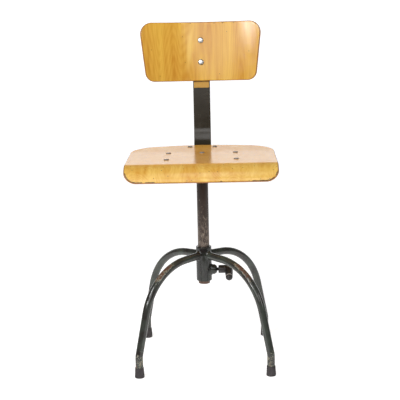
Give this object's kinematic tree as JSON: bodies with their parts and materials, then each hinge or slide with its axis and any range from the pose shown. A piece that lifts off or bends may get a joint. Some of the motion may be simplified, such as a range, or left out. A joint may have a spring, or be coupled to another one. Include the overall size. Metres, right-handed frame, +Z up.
{
  "type": "workshop chair",
  "caption": "Height-adjustable swivel workshop chair with a splayed bent-tube base, clamped column, pressed plywood seat and a curved plywood backrest on a flat steel strap.",
  "frame": {"origin": "middle of the chair's footprint, on the floor under its feet", "axes": "+Z up, -Y the way a sitter faces, +X to the left hand of a sitter, on the side of the clamp lever"},
  "size_m": [0.4106, 0.4678, 0.9335],
  "materials": {
    "green_enamel": "worn dark green enamel",
    "black_rubber": "matte",
    "dark_steel": "dark satin",
    "brass": "plain",
    "lever_casting": "satin black",
    "column_steel": "scratched dark steel",
    "varnished_plywood": "amber gloss varnish",
    "strap_enamel": "olive black enamel",
    "zinc_fasteners": "dull zinc"
  },
  "bodies": {
    "base": {"hub_tube": "green_enamel", "clamp_boss": "green_enamel", "leg_front_left": "green_enamel", "leg_front_right": "green_enamel", "leg_rear_right": "green_enamel", "leg_rear_left": "green_enamel", "foot_front_left": "black_rubber", "foot_front_right": "black_rubber", "foot_rear_right": "black_rubber", "foot_rear_left": "black_rubber"},
    "bearing": {"upper_bush": "dark_steel", "lower_bush": "dark_steel"},
    "seat_column": {"column_tube": "column_steel", "column_socket": "dark_steel", "seat_plate": "dark_steel", "seat": "varnished_plywood", "seat_bolt_front_left": "zinc_fasteners", "seat_washer_front_left": "zinc_fasteners", "seat_nut_front_left": "zinc_fasteners", "seat_bolt_front_right": "zinc_fasteners", "seat_washer_front_right": "zinc_fasteners", "seat_nut_front_right": "zinc_fasteners", "seat_bolt_rear_right": "zinc_fasteners", "seat_washer_rear_right": "zinc_fasteners", "seat_nut_rear_right": "zinc_fasteners", "seat_bolt_rear_left": "zinc_fasteners", "seat_washer_rear_left": "zinc_fasteners", "seat_nut_rear_left": "zinc_fasteners", "strap_bolt": "zinc_fasteners", "strap_washer": "zinc_fasteners", "strap_nut": "zinc_fasteners", "strap_keeper": "dark_steel", "keeper_bolt_left": "zinc_fasteners", "keeper_nut_left": "zinc_fasteners", "keeper_bolt_right": "zinc_fasteners", "keeper_nut_right": "zinc_fasteners"},
    "back": {"back_strap": "strap_enamel", "backrest": "varnished_plywood", "label_plate": "brass", "back_bolt_upper": "zinc_fasteners", "back_washer_upper": "zinc_fasteners", "back_nut_upper": "zinc_fasteners", "back_bolt_lower": "zinc_fasteners", "back_washer_lower": "zinc_fasteners", "back_nut_lower": "zinc_fasteners"},
    "clamp_nose": {"clamp_pad": "brass"},
    "clamp_handle": {"clamp_screw": "dark_steel", "clamp_lever": "lever_casting"}
  },
  "joints": [
    {"name": "seat_swivel", "type": "hinge", "parent": "base", "child": "bearing", "pos_m": [0, -0.04448, 0.282], "axis": [0, 0, 1], "continuous": true},
    {"name": "column_lift", "type": "slide", "parent": "bearing", "child": "seat_column", "axis": [0, 0, 1], "range_m": [-0.16, 0.02]},
    {"name": "back_depth", "type": "slide", "parent": "seat_column", "child": "back", "axis": [0, 1, 0], "range_m": [-0.012, 0.012]},
    {"name": "clamp_feed", "type": "slide", "parent": "base", "child": "clamp_nose", "axis": [1, 0, 0], "range_m": [0, 0.0015]},
    {"name": "clamp_turn", "type": "hinge", "parent": "clamp_nose", "child": "clamp_handle", "pos_m": [0, -0.04448, 0.251], "axis": [1, 0, 0], "range_deg": [0, 360]}
  ],
  "couplings": [
    {"joint": "clamp_feed", "follows": "clamp_turn", "m_per_rad": 0.0002387}
  ]
}
